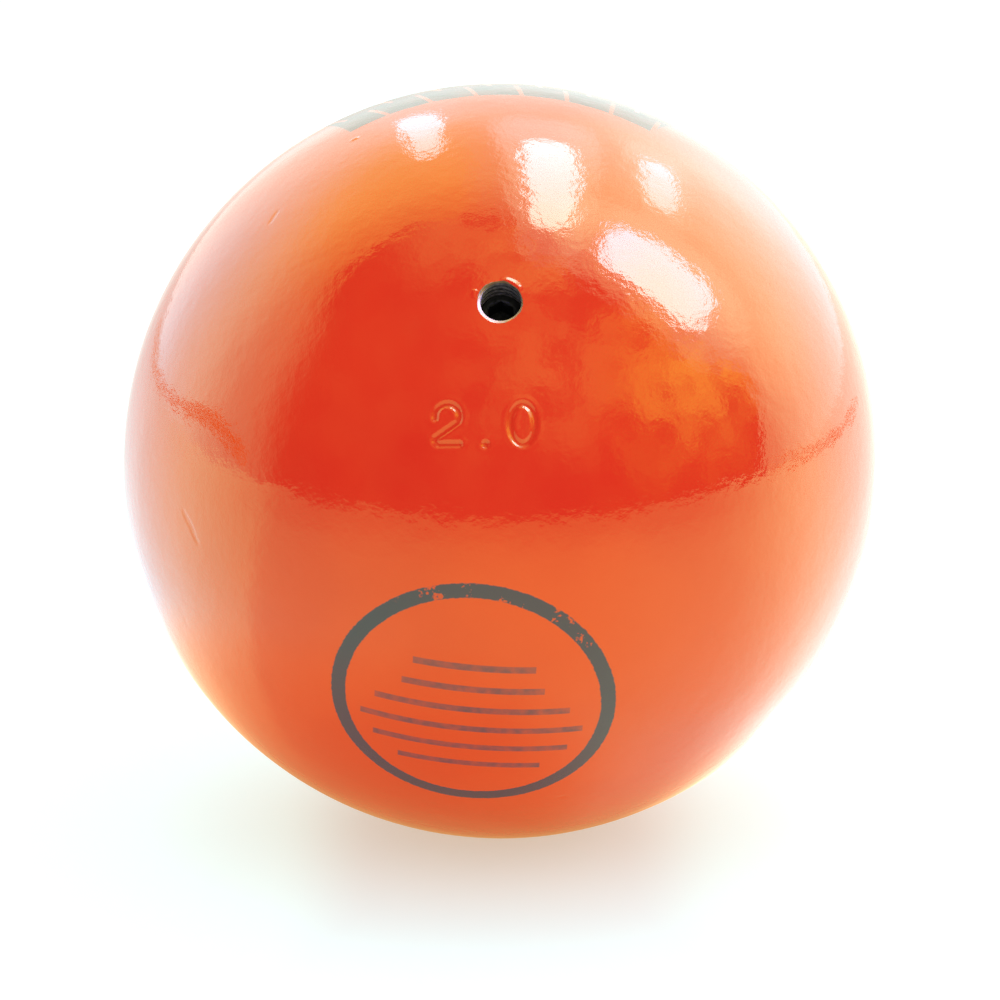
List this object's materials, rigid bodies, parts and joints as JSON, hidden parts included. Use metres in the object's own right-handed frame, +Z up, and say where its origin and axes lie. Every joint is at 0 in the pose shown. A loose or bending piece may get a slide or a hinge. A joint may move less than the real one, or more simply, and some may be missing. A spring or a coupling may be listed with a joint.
{
  "type": "shot put",
  "caption": "Cast-iron throwing ball in glossy orange paint for the 2 kg class, with a tapped trim-weight bore closed by a sunken set screw.",
  "frame": {"origin": "the ball's centre", "axes": "+Z up as the ball was pictured, front (the bore's side) towards -Y, +X to the right seen from the front"},
  "size_m": [0.0812, 0.0812, 0.0812],
  "materials": {
    "orange_paint": "glossy enamel paint over grey cast iron, bare iron at the bore's mouth",
    "black_steel": "black oxide",
    "soft_brass": "plain, dull",
    "pellet_steel": "plain, dull"
  },
  "bodies": {
    "casting": {"casting": "orange_paint", "trim_pellet_1": "pellet_steel", "trim_pellet_2": "pellet_steel", "trim_pellet_3": "pellet_steel", "trim_pellet_4": "pellet_steel", "trim_pellet_5": "pellet_steel", "trim_pellet_6": "pellet_steel"},
    "packing_disc": {"packing_disc": "soft_brass"},
    "plug_screw": {"plug_screw": "black_steel"}
  },
  "joints": [
    {"name": "screw_turn", "type": "hinge", "parent": "casting", "child": "packing_disc", "pos_m": [0, -0.02533, 0.02052], "axis": [0, -0.7771, 0.6293], "range_deg": [0, 3600]},
    {"name": "screw_travel", "type": "slide", "parent": "packing_disc", "child": "plug_screw", "axis": [0, -0.7771, 0.6293], "range_m": [0, 0.008]}
  ],
  "couplings": [
    {"joint": "screw_turn", "follows": "screw_travel", "rad_per_m": 7854}
  ]
}
